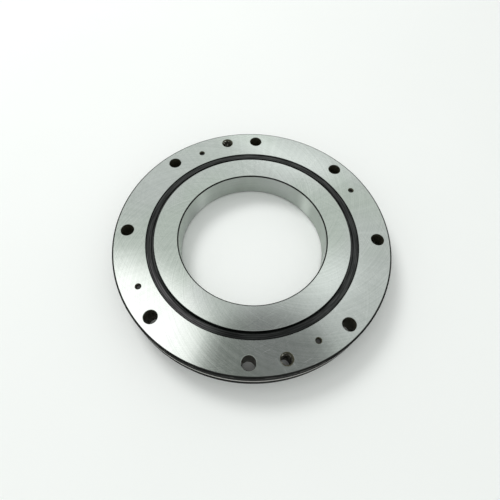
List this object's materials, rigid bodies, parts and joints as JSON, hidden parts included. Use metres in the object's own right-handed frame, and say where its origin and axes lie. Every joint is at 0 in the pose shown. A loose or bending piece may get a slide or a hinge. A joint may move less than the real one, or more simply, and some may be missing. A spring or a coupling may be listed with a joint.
{
  "type": "crossed roller bearing",
  "caption": "Flat crossed roller bearing: a bolted, split outer ring, a turning inner ring with a plain bore, rubber seals and crossed rollers with spacers in a V raceway.",
  "frame": {"origin": "on the bearing's axis, in the plane of its lower face", "axes": "+Z along the bearing's axis towards the face with the small screw holes, +X through the centre of a mounting hole, -Y towards the viewer in the picture"},
  "size_m": [0.14, 0.14, 0.014],
  "materials": {
    "ring_steel": "ground",
    "roller_steel": "polished",
    "seal_rubber": "satin",
    "screw_steel": "satin",
    "spacer_polymer": "matte"
  },
  "bodies": {
    "outer_ring": {"outer_ring_upper": "ring_steel", "outer_ring_lower": "ring_steel", "upper_seal": "seal_rubber", "lower_seal": "seal_rubber", "clamp_screws": "screw_steel"},
    "inner_ring": {"inner_ring": "ring_steel"},
    "spacer_train": {"spacers": "spacer_polymer"},
    "roller_01": {"roller_01": "roller_steel"},
    "roller_02": {"roller_02": "roller_steel"},
    "roller_03": {"roller_03": "roller_steel"},
    "roller_04": {"roller_04": "roller_steel"},
    "roller_05": {"roller_05": "roller_steel"},
    "roller_06": {"roller_06": "roller_steel"},
    "roller_07": {"roller_07": "roller_steel"},
    "roller_08": {"roller_08": "roller_steel"},
    "roller_09": {"roller_09": "roller_steel"},
    "roller_10": {"roller_10": "roller_steel"},
    "roller_11": {"roller_11": "roller_steel"},
    "roller_12": {"roller_12": "roller_steel"},
    "roller_13": {"roller_13": "roller_steel"},
    "roller_14": {"roller_14": "roller_steel"},
    "roller_15": {"roller_15": "roller_steel"},
    "roller_16": {"roller_16": "roller_steel"},
    "roller_17": {"roller_17": "roller_steel"},
    "roller_18": {"roller_18": "roller_steel"},
    "roller_19": {"roller_19": "roller_steel"},
    "roller_20": {"roller_20": "roller_steel"},
    "roller_21": {"roller_21": "roller_steel"},
    "roller_22": {"roller_22": "roller_steel"},
    "roller_23": {"roller_23": "roller_steel"},
    "roller_24": {"roller_24": "roller_steel"},
    "roller_25": {"roller_25": "roller_steel"},
    "roller_26": {"roller_26": "roller_steel"},
    "roller_27": {"roller_27": "roller_steel"},
    "roller_28": {"roller_28": "roller_steel"},
    "roller_29": {"roller_29": "roller_steel"},
    "roller_30": {"roller_30": "roller_steel"},
    "roller_31": {"roller_31": "roller_steel"},
    "roller_32": {"roller_32": "roller_steel"},
    "roller_33": {"roller_33": "roller_steel"},
    "roller_34": {"roller_34": "roller_steel"},
    "roller_35": {"roller_35": "roller_steel"},
    "roller_36": {"roller_36": "roller_steel"},
    "roller_37": {"roller_37": "roller_steel"},
    "roller_38": {"roller_38": "roller_steel"},
    "roller_39": {"roller_39": "roller_steel"},
    "roller_40": {"roller_40": "roller_steel"},
    "roller_41": {"roller_41": "roller_steel"},
    "roller_42": {"roller_42": "roller_steel"},
    "roller_43": {"roller_43": "roller_steel"},
    "roller_44": {"roller_44": "roller_steel"},
    "roller_45": {"roller_45": "roller_steel"},
    "roller_46": {"roller_46": "roller_steel"}
  },
  "joints": [
    {"name": "inner_spin", "type": "hinge", "parent": "outer_ring", "child": "inner_ring", "pos_m": [0, 0, 0.007], "axis": [0, 0, 1], "continuous": true},
    {"name": "train_orbit", "type": "hinge", "parent": "outer_ring", "child": "spacer_train", "pos_m": [0, 0, 0.007], "axis": [0, 0, 1], "continuous": true},
    {"name": "roller_01_spin", "type": "hinge", "parent": "spacer_train", "child": "roller_01", "pos_m": [0.0517, 0, 0.007], "axis": [0.7071, 0, 0.7071], "continuous": true},
    {"name": "roller_02_spin", "type": "hinge", "parent": "spacer_train", "child": "roller_02", "pos_m": [0.05122, 0.00704, 0.007], "axis": [-0.7005, -0.0963, 0.7071], "continuous": true},
    {"name": "roller_03_spin", "type": "hinge", "parent": "spacer_train", "child": "roller_03", "pos_m": [0.04978, 0.01395, 0.007], "axis": [0.6809, 0.1908, 0.7071], "continuous": true},
    {"name": "roller_04_spin", "type": "hinge", "parent": "spacer_train", "child": "roller_04", "pos_m": [0.04742, 0.0206, 0.007], "axis": [-0.6486, -0.2817, 0.7071], "continuous": true},
    {"name": "roller_05_spin", "type": "hinge", "parent": "spacer_train", "child": "roller_05", "pos_m": [0.04417, 0.02686, 0.007], "axis": [0.6042, 0.3674, 0.7071], "continuous": true},
    {"name": "roller_06_spin", "type": "hinge", "parent": "spacer_train", "child": "roller_06", "pos_m": [0.0401, 0.03263, 0.007], "axis": [-0.5485, -0.4462, 0.7071], "continuous": true},
    {"name": "roller_07_spin", "type": "hinge", "parent": "spacer_train", "child": "roller_07", "pos_m": [0.03529, 0.03778, 0.007], "axis": [0.4826, 0.5168, 0.7071], "continuous": true},
    {"name": "roller_08_spin", "type": "hinge", "parent": "spacer_train", "child": "roller_08", "pos_m": [0.02981, 0.04224, 0.007], "axis": [-0.4078, -0.5777, 0.7071], "continuous": true},
    {"name": "roller_09_spin", "type": "hinge", "parent": "spacer_train", "child": "roller_09", "pos_m": [0.02379, 0.0459, 0.007], "axis": [0.3253, 0.6278, 0.7071], "continuous": true},
    {"name": "roller_10_spin", "type": "hinge", "parent": "spacer_train", "child": "roller_10", "pos_m": [0.01731, 0.04871, 0.007], "axis": [-0.2368, -0.6663, 0.7071], "continuous": true},
    {"name": "roller_11_spin", "type": "hinge", "parent": "spacer_train", "child": "roller_11", "pos_m": [0.01052, 0.05062, 0.007], "axis": [0.1439, 0.6923, 0.7071], "continuous": true},
    {"name": "roller_12_spin", "type": "hinge", "parent": "spacer_train", "child": "roller_12", "pos_m": [0.00353, 0.05158, 0.007], "axis": [-0.0483, -0.7055, 0.7071], "continuous": true},
    {"name": "roller_13_spin", "type": "hinge", "parent": "spacer_train", "child": "roller_13", "pos_m": [-0.00353, 0.05158, 0.007], "axis": [-0.0483, 0.7055, 0.7071], "continuous": true},
    {"name": "roller_14_spin", "type": "hinge", "parent": "spacer_train", "child": "roller_14", "pos_m": [-0.01052, 0.05062, 0.007], "axis": [0.1439, -0.6923, 0.7071], "continuous": true},
    {"name": "roller_15_spin", "type": "hinge", "parent": "spacer_train", "child": "roller_15", "pos_m": [-0.01731, 0.04871, 0.007], "axis": [-0.2368, 0.6663, 0.7071], "continuous": true},
    {"name": "roller_16_spin", "type": "hinge", "parent": "spacer_train", "child": "roller_16", "pos_m": [-0.02379, 0.0459, 0.007], "axis": [0.3253, -0.6278, 0.7071], "continuous": true},
    {"name": "roller_17_spin", "type": "hinge", "parent": "spacer_train", "child": "roller_17", "pos_m": [-0.02981, 0.04224, 0.007], "axis": [-0.4078, 0.5777, 0.7071], "continuous": true},
    {"name": "roller_18_spin", "type": "hinge", "parent": "spacer_train", "child": "roller_18", "pos_m": [-0.03529, 0.03778, 0.007], "axis": [0.4826, -0.5168, 0.7071], "continuous": true},
    {"name": "roller_19_spin", "type": "hinge", "parent": "spacer_train", "child": "roller_19", "pos_m": [-0.0401, 0.03263, 0.007], "axis": [-0.5485, 0.4462, 0.7071], "continuous": true},
    {"name": "roller_20_spin", "type": "hinge", "parent": "spacer_train", "child": "roller_20", "pos_m": [-0.04417, 0.02686, 0.007], "axis": [0.6042, -0.3674, 0.7071], "continuous": true},
    {"name": "roller_21_spin", "type": "hinge", "parent": "spacer_train", "child": "roller_21", "pos_m": [-0.04742, 0.0206, 0.007], "axis": [-0.6486, 0.2817, 0.7071], "continuous": true},
    {"name": "roller_22_spin", "type": "hinge", "parent": "spacer_train", "child": "roller_22", "pos_m": [-0.04978, 0.01395, 0.007], "axis": [0.6809, -0.1908, 0.7071], "continuous": true},
    {"name": "roller_23_spin", "type": "hinge", "parent": "spacer_train", "child": "roller_23", "pos_m": [-0.05122, 0.00704, 0.007], "axis": [-0.7005, 0.0963, 0.7071], "continuous": true},
    {"name": "roller_24_spin", "type": "hinge", "parent": "spacer_train", "child": "roller_24", "pos_m": [-0.0517, 0, 0.007], "axis": [0.7071, 0, 0.7071], "continuous": true},
    {"name": "roller_25_spin", "type": "hinge", "parent": "spacer_train", "child": "roller_25", "pos_m": [-0.05122, -0.00704, 0.007], "axis": [-0.7005, -0.0963, 0.7071], "continuous": true},
    {"name": "roller_26_spin", "type": "hinge", "parent": "spacer_train", "child": "roller_26", "pos_m": [-0.04978, -0.01395, 0.007], "axis": [0.6809, 0.1908, 0.7071], "continuous": true},
    {"name": "roller_27_spin", "type": "hinge", "parent": "spacer_train", "child": "roller_27", "pos_m": [-0.04742, -0.0206, 0.007], "axis": [-0.6486, -0.2817, 0.7071], "continuous": true},
    {"name": "roller_28_spin", "type": "hinge", "parent": "spacer_train", "child": "roller_28", "pos_m": [-0.04417, -0.02686, 0.007], "axis": [0.6042, 0.3674, 0.7071], "continuous": true},
    {"name": "roller_29_spin", "type": "hinge", "parent": "spacer_train", "child": "roller_29", "pos_m": [-0.0401, -0.03263, 0.007], "axis": [-0.5485, -0.4462, 0.7071], "continuous": true},
    {"name": "roller_30_spin", "type": "hinge", "parent": "spacer_train", "child": "roller_30", "pos_m": [-0.03529, -0.03778, 0.007], "axis": [0.4826, 0.5168, 0.7071], "continuous": true},
    {"name": "roller_31_spin", "type": "hinge", "parent": "spacer_train", "child": "roller_31", "pos_m": [-0.02981, -0.04224, 0.007], "axis": [-0.4078, -0.5777, 0.7071], "continuous": true},
    {"name": "roller_32_spin", "type": "hinge", "parent": "spacer_train", "child": "roller_32", "pos_m": [-0.02379, -0.0459, 0.007], "axis": [0.3253, 0.6278, 0.7071], "continuous": true},
    {"name": "roller_33_spin", "type": "hinge", "parent": "spacer_train", "child": "roller_33", "pos_m": [-0.01731, -0.04871, 0.007], "axis": [-0.2368, -0.6663, 0.7071], "continuous": true},
    {"name": "roller_34_spin", "type": "hinge", "parent": "spacer_train", "child": "roller_34", "pos_m": [-0.01052, -0.05062, 0.007], "axis": [0.1439, 0.6923, 0.7071], "continuous": true},
    {"name": "roller_35_spin", "type": "hinge", "parent": "spacer_train", "child": "roller_35", "pos_m": [-0.00353, -0.05158, 0.007], "axis": [-0.0483, -0.7055, 0.7071], "continuous": true},
    {"name": "roller_36_spin", "type": "hinge", "parent": "spacer_train", "child": "roller_36", "pos_m": [0.00353, -0.05158, 0.007], "axis": [-0.0483, 0.7055, 0.7071], "continuous": true},
    {"name": "roller_37_spin", "type": "hinge", "parent": "spacer_train", "child": "roller_37", "pos_m": [0.01052, -0.05062, 0.007], "axis": [0.1439, -0.6923, 0.7071], "continuous": true},
    {"name": "roller_38_spin", "type": "hinge", "parent": "spacer_train", "child": "roller_38", "pos_m": [0.01731, -0.04871, 0.007], "axis": [-0.2368, 0.6663, 0.7071], "continuous": true},
    {"name": "roller_39_spin", "type": "hinge", "parent": "spacer_train", "child": "roller_39", "pos_m": [0.02379, -0.0459, 0.007], "axis": [0.3253, -0.6278, 0.7071], "continuous": true},
    {"name": "roller_40_spin", "type": "hinge", "parent": "spacer_train", "child": "roller_40", "pos_m": [0.02981, -0.04224, 0.007], "axis": [-0.4078, 0.5777, 0.7071], "continuous": true},
    {"name": "roller_41_spin", "type": "hinge", "parent": "spacer_train", "child": "roller_41", "pos_m": [0.03529, -0.03778, 0.007], "axis": [0.4826, -0.5168, 0.7071], "continuous": true},
    {"name": "roller_42_spin", "type": "hinge", "parent": "spacer_train", "child": "roller_42", "pos_m": [0.0401, -0.03263, 0.007], "axis": [-0.5485, 0.4462, 0.7071], "continuous": true},
    {"name": "roller_43_spin", "type": "hinge", "parent": "spacer_train", "child": "roller_43", "pos_m": [0.04417, -0.02686, 0.007], "axis": [0.6042, -0.3674, 0.7071], "continuous": true},
    {"name": "roller_44_spin", "type": "hinge", "parent": "spacer_train", "child": "roller_44", "pos_m": [0.04742, -0.0206, 0.007], "axis": [-0.6486, 0.2817, 0.7071], "continuous": true},
    {"name": "roller_45_spin", "type": "hinge", "parent": "spacer_train", "child": "roller_45", "pos_m": [0.04978, -0.01395, 0.007], "axis": [0.6809, -0.1908, 0.7071], "continuous": true},
    {"name": "roller_46_spin", "type": "hinge", "parent": "spacer_train", "child": "roller_46", "pos_m": [0.05122, -0.00704, 0.007], "axis": [-0.7005, 0.0963, 0.7071], "continuous": true}
  ],
  "couplings": [
    {"joint": "train_orbit", "follows": "inner_spin", "ratio": 0.47948},
    {"joint": "roller_01_spin", "follows": "inner_spin", "ratio": -8.6022},
    {"joint": "roller_02_spin", "follows": "inner_spin", "ratio": -8.6022},
    {"joint": "roller_03_spin", "follows": "inner_spin", "ratio": -8.6022},
    {"joint": "roller_04_spin", "follows": "inner_spin", "ratio": -8.6022},
    {"joint": "roller_05_spin", "follows": "inner_spin", "ratio": -8.6022},
    {"joint": "roller_06_spin", "follows": "inner_spin", "ratio": -8.6022},
    {"joint": "roller_07_spin", "follows": "inner_spin", "ratio": -8.6022},
    {"joint": "roller_08_spin", "follows": "inner_spin", "ratio": -8.6022},
    {"joint": "roller_09_spin", "follows": "inner_spin", "ratio": -8.6022},
    {"joint": "roller_10_spin", "follows": "inner_spin", "ratio": -8.6022},
    {"joint": "roller_11_spin", "follows": "inner_spin", "ratio": -8.6022},
    {"joint": "roller_12_spin", "follows": "inner_spin", "ratio": -8.6022},
    {"joint": "roller_13_spin", "follows": "inner_spin", "ratio": -8.6022},
    {"joint": "roller_14_spin", "follows": "inner_spin", "ratio": -8.6022},
    {"joint": "roller_15_spin", "follows": "inner_spin", "ratio": -8.6022},
    {"joint": "roller_16_spin", "follows": "inner_spin", "ratio": -8.6022},
    {"joint": "roller_17_spin", "follows": "inner_spin", "ratio": -8.6022},
    {"joint": "roller_18_spin", "follows": "inner_spin", "ratio": -8.6022},
    {"joint": "roller_19_spin", "follows": "inner_spin", "ratio": -8.6022},
    {"joint": "roller_20_spin", "follows": "inner_spin", "ratio": -8.6022},
    {"joint": "roller_21_spin", "follows": "inner_spin", "ratio": -8.6022},
    {"joint": "roller_22_spin", "follows": "inner_spin", "ratio": -8.6022},
    {"joint": "roller_23_spin", "follows": "inner_spin", "ratio": -8.6022},
    {"joint": "roller_24_spin", "follows": "inner_spin", "ratio": -8.6022},
    {"joint": "roller_25_spin", "follows": "inner_spin", "ratio": -8.6022},
    {"joint": "roller_26_spin", "follows": "inner_spin", "ratio": -8.6022},
    {"joint": "roller_27_spin", "follows": "inner_spin", "ratio": -8.6022},
    {"joint": "roller_28_spin", "follows": "inner_spin", "ratio": -8.6022},
    {"joint": "roller_29_spin", "follows": "inner_spin", "ratio": -8.6022},
    {"joint": "roller_30_spin", "follows": "inner_spin", "ratio": -8.6022},
    {"joint": "roller_31_spin", "follows": "inner_spin", "ratio": -8.6022},
    {"joint": "roller_32_spin", "follows": "inner_spin", "ratio": -8.6022},
    {"joint": "roller_33_spin", "follows": "inner_spin", "ratio": -8.6022},
    {"joint": "roller_34_spin", "follows": "inner_spin", "ratio": -8.6022},
    {"joint": "roller_35_spin", "follows": "inner_spin", "ratio": -8.6022},
    {"joint": "roller_36_spin", "follows": "inner_spin", "ratio": -8.6022},
    {"joint": "roller_37_spin", "follows": "inner_spin", "ratio": -8.6022},
    {"joint": "roller_38_spin", "follows": "inner_spin", "ratio": -8.6022},
    {"joint": "roller_39_spin", "follows": "inner_spin", "ratio": -8.6022},
    {"joint": "roller_40_spin", "follows": "inner_spin", "ratio": -8.6022},
    {"joint": "roller_41_spin", "follows": "inner_spin", "ratio": -8.6022},
    {"joint": "roller_42_spin", "follows": "inner_spin", "ratio": -8.6022},
    {"joint": "roller_43_spin", "follows": "inner_spin", "ratio": -8.6022},
    {"joint": "roller_44_spin", "follows": "inner_spin", "ratio": -8.6022},
    {"joint": "roller_45_spin", "follows": "inner_spin", "ratio": -8.6022},
    {"joint": "roller_46_spin", "follows": "inner_spin", "ratio": -8.6022}
  ]
}
